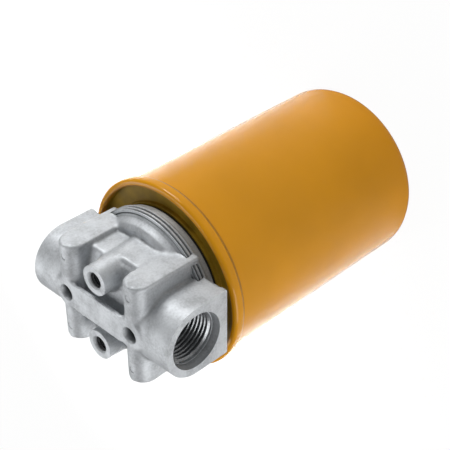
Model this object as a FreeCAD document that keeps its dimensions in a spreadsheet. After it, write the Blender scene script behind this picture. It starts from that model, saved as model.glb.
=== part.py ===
import FreeCAD, Part
import os
import math
import Sketcher

# Spin-on hydraulic filter assembly with a die-cast in-line head.
# The part stands on the flat end of the can, with the head on top.
# The origin is under the can axis at that end, and all lengths are millimetres.

V = FreeCAD.Vector

doc = FreeCAD.newDocument("hydraulic_filter_assembly")
sheet = doc.addObject("Spreadsheet::Sheet", "sizes")


# Sizes that can be set one by one
SIZES = [
    # Drawn can and the seam at its mouth
    ("can_length", 139.35, "closed end to the top of the seam"),
    ("can_radius", 48.25, "outside of the drawn wall"),
    ("can_sheet", 0.7, "sheet of the can and of the lid"),
    ("end_corner", 10.3, "outside radius between wall and closed end"),
    ("end_dish_radius", 26.0, "flat middle of the dish in the closed end"),
    ("end_dish_depth", 1.5, "how far that middle is pushed in"),
    ("end_dish_slope", 4.0, "radial run of the dish wall"),
    ("rim_step", 1.81, "bore of the seam inside the outer wall of the can"),
    ("seam_height", 5.8, "height of the rolled seam"),
    ("seam_gap", 0.03, "between two layers of the seam"),
    ("seam_round", 1.5, "outside rounding of the seam"),
    ("seam_tuck", 1.5, "overlap that the hooks of the seam leave free"),
    ("neck_height", 1.2, "height over which the wall necks in below the seam"),
    # Lid floor and the gasket that it holds
    ("lid_drop", 4.35, "top of the seam down to the lid floor"),
    ("gasket_bore", 31.0, "inside radius of the face gasket"),
    ("gasket_width", 4.8, "radial width of the face gasket"),
    ("gasket_play", 0.3, "gasket to the lips of its groove"),
    ("lip_height", 2.2, "lips of the groove above the lid floor"),
    ("seal_recess", 0.45, "sealing face below the top of the seam"),
    ("seal_play", 0.05, "gasket to the sealing face"),
    # Base plate with the tapped collar
    ("plate_thickness", 4.0, "base plate"),
    ("plate_play", 0.4, "base plate to the inside of the can"),
    ("inlet_hole_radius", 4.0, "holes that let the oil in"),
    ("inlet_hole_circle", 23.4, "radius of their circle"),
    ("inlet_hole_count", 8, "how many of them"),
    ("collar_wall", 2.8, "wall of the tapped collar"),
    ("collar_drop", 10.0, "collar below the base plate"),
    ("spin_thread_radius", 12.7, "major radius of the spin-on thread"),
    ("spin_thread_play", 0.05, "running clearance of that thread"),
    # Nipple between the head and the cartridge
    ("nipple_bore", 9.0, "bore radius"),
    ("nipple_up", 9.6, "length above the sealing face"),
    ("nipple_down", 14.9, "length below the sealing face"),
    ("nipple_bevel", 1.0, "bevel at both ends"),
    # Pleated element
    ("element_lift", 8.6, "underside of the element above the can end"),
    ("element_gap", 10.7, "upper end cap below the base plate"),
    ("element_side", 4.55, "end caps to the inside of the can"),
    ("cap_sheet", 0.5, "sheet of the end caps"),
    ("cap_skirt", 3.5, "rolled edge of the end caps"),
    ("potting", 2.0, "adhesive between cap and pleats"),
    ("tube_step", 0.2, "bore of the centre tube outside the neck"),
    ("tube_sheet", 0.5, "wall of the centre tube"),
    ("tube_hole_radius", 3.0, "perforations"),
    ("tube_hole_rows", 5, "rows of perforations"),
    ("tube_hole_count", 6, "perforations in a row"),
    ("media_play", 0.5, "pleats to the tube and to the cap edge"),
    ("media_sheet", 0.5, "thickness of the pleated media"),
    ("pleat_count", 36, "number of pleats"),
    ("clip_width", 2.6, "strip that joins the ends of the media"),
    ("clip_depth", 3.0, "radial depth of that strip"),
    ("clip_sheet", 0.4, "its sheet"),
    ("seal_width", 2.4, "radial width of the seal on the collar"),
    ("neck_rise", 3.0, "neck above the upper end cap"),
    ("seal_lip", 1.0, "seal above the neck"),
    # Leaf spring under the element
    ("spring_ring_outer", 16.0, "outside radius of its ring"),
    ("spring_ring_inner", 8.0, "inside radius of its ring"),
    ("spring_sheet", 0.8, "strip thickness"),
    ("spring_leg_width", 9.0, "width of a leg"),
    ("spring_leg_reach", 25.0, "radius at the foot of a leg"),
    ("spring_leg_count", 4, "number of legs"),
    # Head casting
    ("seal_to_axis", 23.3, "sealing face up to the port axis"),
    ("disc_radius", 38.6, "widest part of the disc"),
    ("disc_foot_radius", 37.9, "disc at the sealing face"),
    ("disc_top_radius", 38.2, "disc at its upper edge"),
    ("disc_widest", 18.8, "port axis down to the widest part"),
    ("disc_top", 14.8, "port axis down to the upper edge"),
    ("disc_groove", 0.5, "depth of the groove round the disc"),
    ("dome_foot_radius", 35.2, "foot of the dome on the disc"),
    ("dome_waist_radius", 33.2, "top of its steep part"),
    ("dome_waist", 10.6, "port axis down to that height"),
    ("dome_crown_radius", 30.6, "crest of the dome round the middle block"),
    ("dome_crown", 9.2, "port axis down to that height"),
    ("dome_valley_radius", 27.6, "where the dome has dipped to the block"),
    ("dome_valley", 10.0, "port axis down to that height"),
    ("port_span", 94.4, "port face to port face"),
    ("port_radius", 18.6, "round upper half of the port blocks"),
    ("block_foot", 19.4, "port axis down to the underside of the blocks"),
    ("block_round", 1.5, "rounding of the lower corners of the blocks"),
    ("pad_round", 1.0, "rounding of the ends of the pads"),
    ("nose_round", 2.0, "rounding along the edges of the nose"),
    ("shelf_round", 1.5, "rounding of the upper edges of its side faces"),
    ("boss_round", 1.0, "fillet at the foot of the mounting bosses"),
    ("face_height", 18.8, "port axis up to the mounting face"),
    ("rib_pitch", 45.2, "between the two ribs"),
    ("rib_radius", 6.8, "half width and rounded front of a rib"),
    ("rib_recess", 0.15, "front of a rib behind the mounting face"),
    ("rib_length", 56.0, "over the pads of a rib"),
    ("pad_radius", 7.3, "half width of the pads"),
    ("pad_thickness", 1.2, "pads at the ends of the ribs"),
    ("shelf_width", 51.2, "over the two side faces of the middle block"),
    ("shelf_height", 7.1, "port axis up to the end of the side faces"),
    ("nose_height", 12.2, "port axis up to its nose"),
    ("nose_width", 14.0, "width of the nose"),
    ("web_width", 15.0, "web between the ribs"),
    ("web_thickness", 2.1, "its thickness"),
    ("land_radius", 8.3, "round land at each end of the web"),
    ("land_thickness", 5.0, "its thickness"),
    ("gauge_bore", 4.15, "radius of the blind cored recess"),
    ("gauge_depth", 4.6, "its depth"),
    ("boss_pitch", 38.1, "between the two mounting bosses"),
    ("boss_tip_radius", 7.6, "boss at the mounting face"),
    ("boss_draft", 3.0, "draft angle of the bosses in degrees"),
    ("bolt_radius", 3.97, "major radius of the mounting thread"),
    ("bolt_depth", 16.0, "its depth"),
    ("bolt_bevel", 0.75, "bevel at its mouth"),
    # Ports and passages
    ("port_thread_radius", 13.49, "major radius of the port thread"),
    ("port_thread_end", 21.5, "end of the thread below the port face"),
    ("mouth_radius", 14.7, "seal cone at the port face"),
    ("mouth_inner_radius", 13.9, "seal cone at its inner end"),
    ("mouth_depth", 4.1, "depth of the seal cone"),
    ("passage_radius", 10.5, "cored passages behind the threads"),
    ("partition_place", 11.5, "wall between the two passages"),
    ("partition_wall", 5.0, "its thickness"),
    ("chamber_bore", 15.6, "inside radius of the ring chamber"),
    ("chamber_radius", 28.5, "outside radius of the ring chamber"),
    ("chamber_roof", 14.5, "port axis down to the chamber roof"),
    ("inlet_drop_width", 14.0, "opening from the inlet into the chamber"),
    ("inlet_drop_length", 8.0, "its length along the port axis"),
    ("outlet_bore", 9.6, "bore from the nipple up to the outlet"),
    # Bypass valve
    ("valve_place", 20.5, "valve axis from the can axis"),
    ("valve_radius", 4.8, "outside of seat and cage"),
    ("valve_seat_top", 9.0, "port axis down to the top of the seat"),
    ("valve_seat_bore", 3.2, "bore of the seat"),
    ("valve_disc_radius", 4.0, "poppet disc"),
    ("valve_disc_thickness", 0.8, "poppet disc"),
    ("valve_washer", 0.7, "sealing washer under the disc"),
    ("valve_play", 0.02, "washer to the seat"),
    ("valve_stem_radius", 1.3, "poppet stem"),
    ("valve_stem_length", 9.4, "stem above the disc"),
    ("valve_stem_play", 0.05, "stem in its guide"),
    ("valve_cage_height", 9.0, "seat to the underside of the guide"),
    ("valve_cage_top", 1.0, "thickness of the guide"),
    ("valve_leg_wall", 0.6, "wall of the cage legs"),
    ("valve_leg_width", 2.4, "width of a cage leg"),
    ("valve_leg_count", 3, "legs of the cage"),
    ("valve_spring_radius", 2.6, "mean radius of the valve spring"),
    ("valve_wire", 0.7, "wire of the valve spring"),
    ("valve_coils", 4.5, "working coils"),
]


class Size:
    """A length that carries its number and the sheet formula it comes from."""

    def __init__(self, number, formula):
        self.number = float(number)
        self.formula = formula

    def joined(self, other, sign, number, swap=False):
        a, b = (as_size(other), self) if swap else (self, as_size(other))
        return Size(number(a.number, b.number), "(%s %s %s)" % (a.formula, sign, b.formula))

    def __add__(self, other):
        return self.joined(other, "+", lambda a, b: a + b)

    def __radd__(self, other):
        return self.joined(other, "+", lambda a, b: a + b, True)

    def __sub__(self, other):
        return self.joined(other, "-", lambda a, b: a - b)

    def __rsub__(self, other):
        return self.joined(other, "-", lambda a, b: a - b, True)

    def __mul__(self, other):
        return self.joined(other, "*", lambda a, b: a * b)

    def __rmul__(self, other):
        return self.joined(other, "*", lambda a, b: a * b, True)

    def __truediv__(self, other):
        return self.joined(other, "/", lambda a, b: a / b)

    def __rtruediv__(self, other):
        return self.joined(other, "/", lambda a, b: a / b, True)

    def __neg__(self):
        return 0 - self


def as_size(value):
    return value if isinstance(value, Size) else Size(value, repr(float(value)))


def root(value):
    return Size(math.sqrt(value.number), "sqrt(%s)" % value.formula)


def cosine(degrees):
    degrees = as_size(degrees)
    return Size(math.cos(math.radians(degrees.number)), "cos(%s)" % degrees.formula)


def sine(degrees):
    degrees = as_size(degrees)
    return Size(math.sin(math.radians(degrees.number)), "sin(%s)" % degrees.formula)


for row, (alias, number, note) in enumerate(SIZES, start=1):
    sheet.set("A%d" % row, alias)
    sheet.set("B%d" % row, "%g" % number)
    sheet.setAlias("B%d" % row, alias)
    sheet.set("C%d" % row, note)
doc.recompute()


def size(alias):
    return Size(getattr(sheet, alias), "sizes.%s" % alias)


# Sketch and feature helpers
def bind(target, prop, value):
    target.setExpression(prop, as_size(value).formula)


def origin_item(body, role):
    return [item for item in body.Origin.OriginFeatures if item.Role == role][0]


def new_body(label, lift=None, shift=None):
    body = doc.addObject("PartDesign::Body", label)
    body.Label = label
    if lift is not None:
        bind(body, "Placement.Base.z", lift)
    if shift is not None:
        bind(body, "Placement.Base.x", shift)
    return body


def new_sketch(body, name, role, offset=None):
    sketch = body.newObject("Sketcher::SketchObject", name)
    sketch.AttachmentSupport = [(origin_item(body, role), "")]
    sketch.MapMode = "FlatFace"
    if offset is not None:
        bind(sketch, "AttachmentOffset.Base.z", offset)
    return sketch


def pin(sketch, item, vertex, axis, value):
    value = as_size(value)
    index = sketch.addConstraint(Sketcher.Constraint("Distance" + axis, -1, 1, item, vertex, value.number))
    sketch.setExpression("Constraints[%d]" % index, value.formula)


def add_loop(sketch, points, arcs=None):
    """Closed outline through the points; arcs maps a point to (centre, turn) of the arc that leaves it."""
    arcs = arcs or {}
    points = [(as_size(x), as_size(y)) for x, y in points]
    first = sketch.GeometryCount
    ends = []
    for i, (x, y) in enumerate(points):
        nx, ny = points[(i + 1) % len(points)]
        start, stop = V(x.number, y.number, 0), V(nx.number, ny.number, 0)
        if i in arcs:
            (cx, cy), turn = arcs[i]
            centre = V(as_size(cx).number, as_size(cy).number, 0)
            circle = Part.Circle(centre, V(0, 0, 1), (start - centre).Length)
            a = math.atan2(start.y - centre.y, start.x - centre.x)
            b = math.atan2(stop.y - centre.y, stop.x - centre.x)
            low, high = (a, b) if turn > 0 else (b, a)
            if high <= low:
                high += 2 * math.pi
            sketch.addGeometry(Part.ArcOfCircle(circle, low, high), False)
            ends.append((1, 2) if turn > 0 else (2, 1))
        else:
            sketch.addGeometry(Part.LineSegment(start, stop), False)
            ends.append((1, 2))
    for i in range(len(points)):
        j = (i + 1) % len(points)
        sketch.addConstraint(Sketcher.Constraint("Coincident", first + i, ends[i][1], first + j, ends[j][0]))
    for i, (x, y) in enumerate(points):
        before = (i - 1) % len(points)
        if before in arcs:
            cx, cy = [as_size(c) for c in arcs[before][0]]
            if abs(y.number - cy.number) > abs(x.number - cx.number):
                pin(sketch, first + i, ends[i][0], "X", x)
            else:
                pin(sketch, first + i, ends[i][0], "Y", y)
        else:
            pin(sketch, first + i, ends[i][0], "X", x)
            pin(sketch, first + i, ends[i][0], "Y", y)
        if i in arcs:
            pin(sketch, first + i, 3, "X", arcs[i][0][0])
            pin(sketch, first + i, 3, "Y", arcs[i][0][1])


def add_circle(sketch, x, y, radius):
    x, y, radius = as_size(x), as_size(y), as_size(radius)
    item = sketch.addGeometry(Part.Circle(V(x.number, y.number, 0), V(0, 0, 1), radius.number), False)
    pin(sketch, item, 3, "X", x)
    pin(sketch, item, 3, "Y", y)
    index = sketch.addConstraint(Sketcher.Constraint("Radius", item, radius.number))
    sketch.setExpression("Constraints[%d]" % index, radius.formula)


def box_points(x0, x1, y0, y1):
    return [(x0, y0), (x1, y0), (x1, y1), (x0, y1)]


def extrude(body, kind, name, sketch, length, both=False, flip=False, taper=None):
    feature = body.newObject("PartDesign::" + kind, name)
    feature.Profile = sketch
    if both:
        feature.SideType = "Symmetric"
    feature.Reversed = flip
    bind(feature, "Length", length)
    if taper is not None:
        bind(feature, "TaperAngle", taper)
    sketch.Visibility = False
    return feature


def pad(body, name, sketch, length, **options):
    return extrude(body, "Pad", name, sketch, length, **options)


def pocket(body, name, sketch, length, **options):
    return extrude(body, "Pocket", name, sketch, length, **options)


def turn(body, kind, name, sketch, axis):
    feature = body.newObject("PartDesign::" + kind, name)
    feature.Profile = sketch
    feature.ReferenceAxis = (sketch, [axis])
    feature.Angle = 360
    sketch.Visibility = False
    return feature


def revolve(body, name, sketch, axis="V_Axis"):
    return turn(body, "Revolution", name, sketch, axis)


def groove(body, name, sketch, axis="V_Axis"):
    return turn(body, "Groove", name, sketch, axis)


def mirror(body, name, features, role):
    feature = body.newObject("PartDesign::Mirrored", name)
    feature.Originals = features
    feature.MirrorPlane = (origin_item(body, role), [""])
    body.Tip = feature
    return feature


def polar(body, name, features, count):
    feature = body.newObject("PartDesign::PolarPattern", name)
    feature.Originals = features
    feature.Axis = (origin_item(body, "Z_Axis"), [""])
    feature.Angle = 360
    bind(feature, "Occurrences", count)
    body.Tip = feature
    return feature


def round_edges(body, name, test, radius, kind="Fillet"):
    """Round or bevel every edge of the present solid that passes the test."""
    doc.recompute()
    base = body.Tip
    names = ["Edge%d" % (i + 1) for i, edge in enumerate(base.Shape.Edges) if test(edge)]
    if not names:
        raise RuntimeError("%s finds no edge" % name)
    feature = body.newObject("PartDesign::" + kind, name)
    feature.Base = (base, names)
    bind(feature, "Radius" if kind == "Fillet" else "Size", radius)
    return feature


def near(a, b, slack=0.01):
    return abs(a - b) < slack


# Heights that several pieces share
can_length = size("can_length")
can_sheet = size("can_sheet")
rim_bore = size("can_radius") - size("rim_step")
seam_gap = size("seam_gap")
seal_level = can_length - size("seal_recess")
axis_level = seal_level + size("seal_to_axis")
lid_floor = can_length - size("lid_drop")
plate_top = lid_floor - can_sheet
plate_under = plate_top - size("plate_thickness")
spin_radius = size("spin_thread_radius")
collar_radius = spin_radius + size("collar_wall")
layer = can_sheet + seam_gap
seam_base = can_length - size("seam_height")


# Can, deep drawn, with its mouth rolled outwards into the seam
can_radius = size("can_radius")
end_corner = size("end_corner")
dish = size("end_dish_depth")
dish_radius = size("end_dish_radius")
dish_foot = dish_radius + size("end_dish_slope")
wall_in = can_radius - can_sheet
seam_wall = rim_bore + layer
hook_in = rim_bore + 3 * layer
hook_top = can_length - layer
neck_top = seam_base + 0.5 * size("neck_height")
neck_base = seam_base - 0.5 * size("neck_height")
hook_end = seam_base + layer + size("seam_tuck")

can = new_body("can_shell")
sk = new_sketch(can, "can_profile", "XZ_Plane")
add_loop(sk, [
    (0, dish),
    (dish_radius, dish),
    (dish_foot, 0),
    (can_radius - end_corner, 0),
    (can_radius, end_corner),
    (can_radius, neck_base),
    (seam_wall + can_sheet, neck_top),
    (seam_wall + can_sheet, hook_top - can_sheet),
    (hook_in, hook_top - can_sheet),
    (hook_in, hook_end),
    (hook_in + can_sheet, hook_end),
    (hook_in + can_sheet, hook_top),
    (seam_wall, hook_top),
    (seam_wall, neck_top),
    (wall_in, neck_base),
    (wall_in, end_corner),
    (can_radius - end_corner, can_sheet),
    (dish_foot + 0.3 * can_sheet, can_sheet),
    (dish_radius, dish + can_sheet),
    (0, dish + can_sheet),
], {
    3: ((can_radius - end_corner, end_corner), 1),
    15: ((can_radius - end_corner, end_corner), -1),
})
revolve(can, "can_wall", sk)


# Lid, whose floor carries the gasket groove and whose edge closes the seam
seam_round = size("seam_round")
rim_radius = rim_bore + 4 * layer + can_sheet
cover_in = rim_bore + 2 * layer
gasket_bore = size("gasket_bore")
gasket_radius = gasket_bore + size("gasket_width")
groove_in = gasket_bore - size("gasket_play")
groove_out = gasket_radius + size("gasket_play")
lip_top = lid_floor + size("lip_height")
inner_round = 0.6 * seam_round
fold_round = 0.5 * can_sheet

lid = new_body("seaming_lid")
sk = new_sketch(lid, "lid_profile", "XZ_Plane")
add_loop(sk, [
    (groove_in - can_sheet, plate_top),
    (rim_bore + can_sheet, plate_top),
    (rim_bore + can_sheet, can_length - can_sheet),
    (rim_radius - can_sheet, can_length - can_sheet),
    (rim_radius - can_sheet, seam_base + can_sheet),
    (cover_in + can_sheet, seam_base + can_sheet),
    (cover_in + can_sheet, hook_top - layer),
    (cover_in, hook_top - layer),
    (cover_in, seam_base + fold_round),
    (cover_in + fold_round, seam_base),
    (rim_radius - seam_round, seam_base),
    (rim_radius, seam_base + seam_round),
    (rim_radius, can_length - seam_round),
    (rim_radius - seam_round, can_length),
    (rim_bore + inner_round, can_length),
    (rim_bore, can_length - inner_round),
    (rim_bore, lid_floor),
    (groove_out + 2 * can_sheet, lid_floor),
    (groove_out + 2 * can_sheet, lip_top),
    (groove_out, lip_top),
    (groove_out, lid_floor),
    (groove_in, lid_floor),
    (groove_in, lip_top),
    (groove_in - can_sheet, lip_top),
], {
    8: ((cover_in + fold_round, seam_base + fold_round), 1),
    10: ((rim_radius - seam_round, seam_base + seam_round), 1),
    12: ((rim_radius - seam_round, can_length - seam_round), 1),
    14: ((rim_bore + inner_round, can_length - inner_round), 1),
})
revolve(lid, "lid_sheet", sk)


# Base plate with its tapped collar and the ring of inlet holes
plate = new_body("base_plate")
sk = new_sketch(plate, "plate_profile", "XZ_Plane")
plate_radius = wall_in - size("plate_play")
collar_end = plate_under - size("collar_drop")
add_loop(sk, [
    (spin_radius, collar_end),
    (collar_radius, collar_end),
    (collar_radius, plate_under),
    (plate_radius, plate_under),
    (plate_radius, plate_top),
    (spin_radius, plate_top),
])
revolve(plate, "plate_disc", sk)
sk = new_sketch(plate, "inlet_hole", "XY_Plane", plate_under)
add_circle(sk, size("inlet_hole_circle"), 0, size("inlet_hole_radius"))
hole = pocket(plate, "inlet_cut", sk, size("plate_thickness"), flip=True)
polar(plate, "inlet_holes", [hole], size("inlet_hole_count"))


# Face gasket in the groove of the lid
gasket = new_body("head_gasket", lift=lid_floor)
sk = new_sketch(gasket, "gasket_profile", "XZ_Plane")
gasket_height = seal_level - size("seal_play") - lid_floor
add_loop(sk, [
    (gasket_bore, 0),
    (gasket_radius, 0),
    (gasket_radius, gasket_height - 0.1 * gasket_height),
    (gasket_radius - 0.1 * gasket_height, gasket_height),
    (gasket_bore + 0.1 * gasket_height, gasket_height),
    (gasket_bore, gasket_height - 0.1 * gasket_height),
])
revolve(gasket, "gasket_ring", sk)


# Nipple, screwed into the head and carrying the cartridge
nipple_radius = spin_radius - size("spin_thread_play")
nipple_bevel = size("nipple_bevel")
nipple_bore = size("nipple_bore")
nipple_up = size("nipple_up")
nipple_down = size("nipple_down")
nipple = new_body("threaded_nipple", lift=seal_level)
sk = new_sketch(nipple, "nipple_profile", "XZ_Plane")
add_loop(sk, [
    (nipple_bore, -nipple_down),
    (nipple_radius - nipple_bevel, -nipple_down),
    (nipple_radius, nipple_bevel - nipple_down),
    (nipple_radius, nipple_up - nipple_bevel),
    (nipple_radius - nipple_bevel, nipple_up),
    (nipple_bore, nipple_up),
])
revolve(nipple, "nipple_tube", sk)


# Pleated element between two end caps round a perforated tube
element_base = size("element_lift")
element_top = plate_under - size("element_gap")
element_radius = wall_in - size("element_side")
cap_sheet = size("cap_sheet")
cap_skirt = size("cap_skirt")
potting = size("potting")
neck_radius = collar_radius + size("seal_width") + cap_sheet
tube_bore = neck_radius + size("tube_step")
tube_radius = tube_bore + size("tube_sheet")
media_play = size("media_play")

lower_cap = new_body("bottom_end_cap", lift=element_base)
sk = new_sketch(lower_cap, "lower_cap_profile", "XZ_Plane")
add_loop(sk, [
    (0, 0),
    (element_radius, 0),
    (element_radius, cap_skirt),
    (element_radius - cap_sheet, cap_skirt),
    (element_radius - cap_sheet, cap_sheet),
    (0, cap_sheet),
])
revolve(lower_cap, "lower_cap_sheet", sk)

upper_cap = new_body("top_end_cap", lift=element_top)
sk = new_sketch(upper_cap, "upper_cap_profile", "XZ_Plane")
add_loop(sk, [
    (neck_radius - cap_sheet, -cap_sheet),
    (element_radius - cap_sheet, -cap_sheet),
    (element_radius - cap_sheet, -cap_skirt),
    (element_radius, -cap_skirt),
    (element_radius, 0),
    (neck_radius, 0),
    (neck_radius, size("neck_rise")),
    (neck_radius - cap_sheet, size("neck_rise")),
])
revolve(upper_cap, "upper_cap_sheet", sk)

media_base = element_base + cap_sheet + potting
media_top = element_top - cap_sheet - potting
for label, level in (("bottom_potting", element_base + cap_sheet), ("top_potting", media_top)):
    ring = new_body(label, lift=level)
    sk = new_sketch(ring, label + "_profile", "XZ_Plane")
    add_loop(sk, box_points(tube_radius, element_radius - cap_sheet, 0, potting))
    revolve(ring, label + "_ring", sk)

tube = new_body("centre_tube", lift=element_base + cap_sheet)
tube_length = element_top - element_base - 2 * cap_sheet
sk = new_sketch(tube, "tube_profile", "XZ_Plane")
add_loop(sk, box_points(tube_bore, tube_radius, 0, tube_length))
revolve(tube, "tube_wall", sk)
rows = int(size("tube_hole_rows").number)
row_step = (tube_length - 2 * potting) / size("tube_hole_rows")
sk = new_sketch(tube, "tube_holes", "YZ_Plane")
for row in range(rows):
    add_circle(sk, 0, potting + (row + 0.5) * row_step, size("tube_hole_radius"))
cut = pocket(tube, "tube_cut", sk, tube_radius + 1.0, flip=True)
polar(tube, "tube_perforation", [cut], size("tube_hole_count"))

# One pleat is a chevron, and its copies meet in radial planes at the inner folds
pleat_half = 180 / size("pleat_count")
media_sheet = size("media_sheet")
fold_in = tube_radius + media_play
fold_out = element_radius - cap_sheet - media_play
valley = fold_in + media_sheet
media = new_body("pleated_media", lift=media_base)
sk = new_sketch(media, "pleat_profile", "XY_Plane")
add_loop(sk, [
    (fold_in * cosine(pleat_half), -(fold_in * sine(pleat_half))),
    (valley * cosine(pleat_half), -(valley * sine(pleat_half))),
    (fold_out, -media_sheet),
    (fold_out, media_sheet),
    (valley * cosine(pleat_half), valley * sine(pleat_half)),
    (fold_in * cosine(pleat_half), fold_in * sine(pleat_half)),
    (fold_in * cosine(pleat_half), fold_in * sine(pleat_half) - media_sheet),
    (fold_out - 2 * media_sheet, 0),
    (fold_in * cosine(pleat_half), media_sheet - fold_in * sine(pleat_half)),
])
pleat = pad(media, "pleat", sk, media_top - media_base)
polar(media, "pleats", [pleat], size("pleat_count"))

clip_sheet = size("clip_sheet")
clip_half = 0.5 * size("clip_width")
clip_out = fold_out + clip_sheet
clip = new_body("media_seam_clip", lift=media_base)
sk = new_sketch(clip, "clip_profile", "XY_Plane")
add_loop(sk, [
    (clip_out - size("clip_depth"), -clip_half),
    (clip_out, -clip_half),
    (clip_out, clip_half),
    (clip_out - size("clip_depth"), clip_half),
    (clip_out - size("clip_depth"), clip_half - clip_sheet),
    (clip_out - clip_sheet, clip_half - clip_sheet),
    (clip_out - clip_sheet, clip_sheet - clip_half),
    (clip_out - size("clip_depth"), clip_sheet - clip_half),
])
pad(clip, "clip_strip", sk, media_top - media_base)

seal = new_body("element_seal", lift=element_top)
sk = new_sketch(seal, "seal_profile", "XZ_Plane")
seal_top = size("neck_rise") + size("seal_lip")
add_loop(sk, [
    (collar_radius, 0),
    (neck_radius - cap_sheet, 0),
    (neck_radius - cap_sheet, size("neck_rise")),
    (neck_radius + 0.5 * size("seal_lip"), size("neck_rise")),
    (neck_radius + 0.5 * size("seal_lip"), seal_top),
    (collar_radius, seal_top),
])
revolve(seal, "seal_ring", sk)

# Leaf spring with bent legs that stand on the dish of the can
spring_sheet = size("spring_sheet")
ring_out = size("spring_ring_outer")
ring_in = size("spring_ring_inner")
reach = size("spring_leg_reach")
spring_floor = dish + can_sheet
spring = new_body("element_spring")
sk = new_sketch(spring, "spring_ring", "XZ_Plane")
add_loop(sk, box_points(ring_in, ring_out, element_base - spring_sheet, element_base))
revolve(spring, "spring_disc", sk)
sk = new_sketch(spring, "spring_leg", "XZ_Plane")
add_loop(sk, [
    (ring_out - 3.0, element_base - spring_sheet),
    (reach - 3.0, spring_floor),
    (reach, spring_floor),
    (reach, spring_floor + spring_sheet),
    (reach - 3.0 + 0.3 * spring_sheet, spring_floor + spring_sheet),
    (ring_out - 3.0 + 0.6 * spring_sheet, element_base),
    (ring_out - 3.0, element_base),
])
leg = pad(spring, "leg", sk, size("spring_leg_width"), both=True)
polar(spring, "legs", [leg], size("spring_leg_count"))


# Head casting, drawn about the point where the port axis meets the can axis
seal_drop = size("seal_to_axis")
head = new_body("filter_head", lift=axis_level)
disc_groove = size("disc_groove")
disc_mid = 0.5 * (size("disc_widest") + size("disc_top"))
sk = new_sketch(head, "disc_profile", "XZ_Plane")
add_loop(sk, [
    (0, -seal_drop),
    (size("disc_foot_radius"), -seal_drop),
    (size("disc_radius"), -size("disc_widest")),
    (size("disc_radius"), -disc_mid - disc_groove),
    (size("disc_top_radius") - disc_groove, -disc_mid),
    (size("disc_top_radius"), disc_groove - disc_mid),
    (size("disc_top_radius"), -size("disc_top")),
    (size("dome_foot_radius"), 0.6 - size("disc_top")),
    (size("dome_waist_radius"), -size("dome_waist")),
    (size("dome_crown_radius"), -size("dome_crown")),
    (size("dome_valley_radius"), -size("dome_valley")),
    (0, -size("dome_valley")),
])
revolve(head, "disc_and_dome", sk)

# Middle block with the sloping nose, as wide as the rib centres
rib_half = 0.5 * size("rib_length")
rib_place = 0.5 * size("rib_pitch")
nose_half = 0.5 * size("nose_width")
shelf_half = 0.5 * size("shelf_width")
sk = new_sketch(head, "block_profile", "YZ_Plane")
add_loop(sk, [
    (-shelf_half, -size("disc_widest")),
    (shelf_half, -size("disc_widest")),
    (shelf_half, size("shelf_height")),
    (nose_half, size("nose_height")),
    (-nose_half, size("nose_height")),
    (-shelf_half, size("shelf_height")),
])
pad(head, "middle_block", sk, size("rib_pitch"), both=True)


def shelf_end(edge):
    middle = edge.BoundBox.Center
    return (near(abs(middle.y), shelf_half.number)
            and near(middle.z, size("shelf_height").number))


round_edges(head, "shelf_rounds", shelf_end, size("shelf_round"))

# Port blocks, round above the port axis and square below it
port_radius = size("port_radius")
block_foot = size("block_foot")
port_half = 0.5 * size("port_span")
sk = new_sketch(head, "port_profile", "YZ_Plane", rib_place)
block_round = size("block_round")
add_loop(sk, [
    (block_round - port_radius, -block_foot),
    (port_radius - block_round, -block_foot),
    (port_radius, block_round - block_foot),
    (port_radius, 0),
    (-port_radius, 0),
    (-port_radius, block_round - block_foot),
], {
    1: ((port_radius - block_round, block_round - block_foot), 1),
    3: ((0, 0), 1),
    5: ((block_round - port_radius, block_round - block_foot), 1),
})
block = pad(head, "port_block", sk, port_half - rib_place)
mirror(head, "port_blocks", [block], "YZ_Plane")

# Ribs with half-round fronts
rib_radius = size("rib_radius")
face_height = size("face_height")
sk = new_sketch(head, "rib_profile", "XZ_Plane")
rib_crown = face_height - size("rib_recess") - rib_radius
for side in (-1, 1):
    middle = side * rib_place
    add_loop(sk, [
        (middle - rib_radius, -block_foot),
        (middle + rib_radius, -block_foot),
        (middle + rib_radius, rib_crown),
        (middle - rib_radius, rib_crown),
    ], {2: ((middle, rib_crown), 1)})
pad(head, "ribs", sk, size("rib_length") - 2 * size("pad_thickness"), both=True)

# Pads, slightly wider than the ribs, at both ends of them
pad_radius = size("pad_radius")
pad_crown = face_height - pad_radius
sk = new_sketch(head, "pad_profile", "XZ_Plane", rib_half - size("pad_thickness"))
for side in (-1, 1):
    middle = side * rib_place
    add_loop(sk, [
        (middle - pad_radius, -block_foot),
        (middle + pad_radius, -block_foot),
        (middle + pad_radius, pad_crown),
        (middle - pad_radius, pad_crown),
    ], {2: ((middle, pad_crown), 1)})
pads = pad(head, "rib_pads", sk, size("pad_thickness"))
mirror(head, "rib_pads_both", [pads], "XZ_Plane")

# Web across the ribs, with a round land at each end
web_half = 0.5 * size("web_width")
sk = new_sketch(head, "web_profile", "XY_Plane", face_height - size("web_thickness"))
add_loop(sk, box_points(-rib_place, rib_place, -web_half, web_half))
pad(head, "web", sk, size("web_thickness"))
sk = new_sketch(head, "land_profile", "XY_Plane", face_height - size("land_thickness"))
add_circle(sk, -rib_place, 0, size("land_radius"))
add_circle(sk, rib_place, 0, size("land_radius"))
pad(head, "lands", sk, size("land_thickness"))

# Mounting bosses, drawn at the face and growing with the draft towards the block
boss_place = 0.5 * size("boss_pitch")
sk = new_sketch(head, "boss_profile", "XY_Plane", face_height)
add_circle(sk, 0, -boss_place, size("boss_tip_radius"))
add_circle(sk, 0, boss_place, size("boss_tip_radius"))
pad(head, "bosses", sk, face_height + size("dome_waist"), flip=True, taper=size("boss_draft"))

# Ring chamber over the inlet holes of the cartridge
sk = new_sketch(head, "chamber_profile", "XZ_Plane")
add_loop(sk, box_points(size("chamber_bore"), size("chamber_radius"), -seal_drop, -size("chamber_roof")))
groove(head, "ring_chamber", sk)

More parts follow.
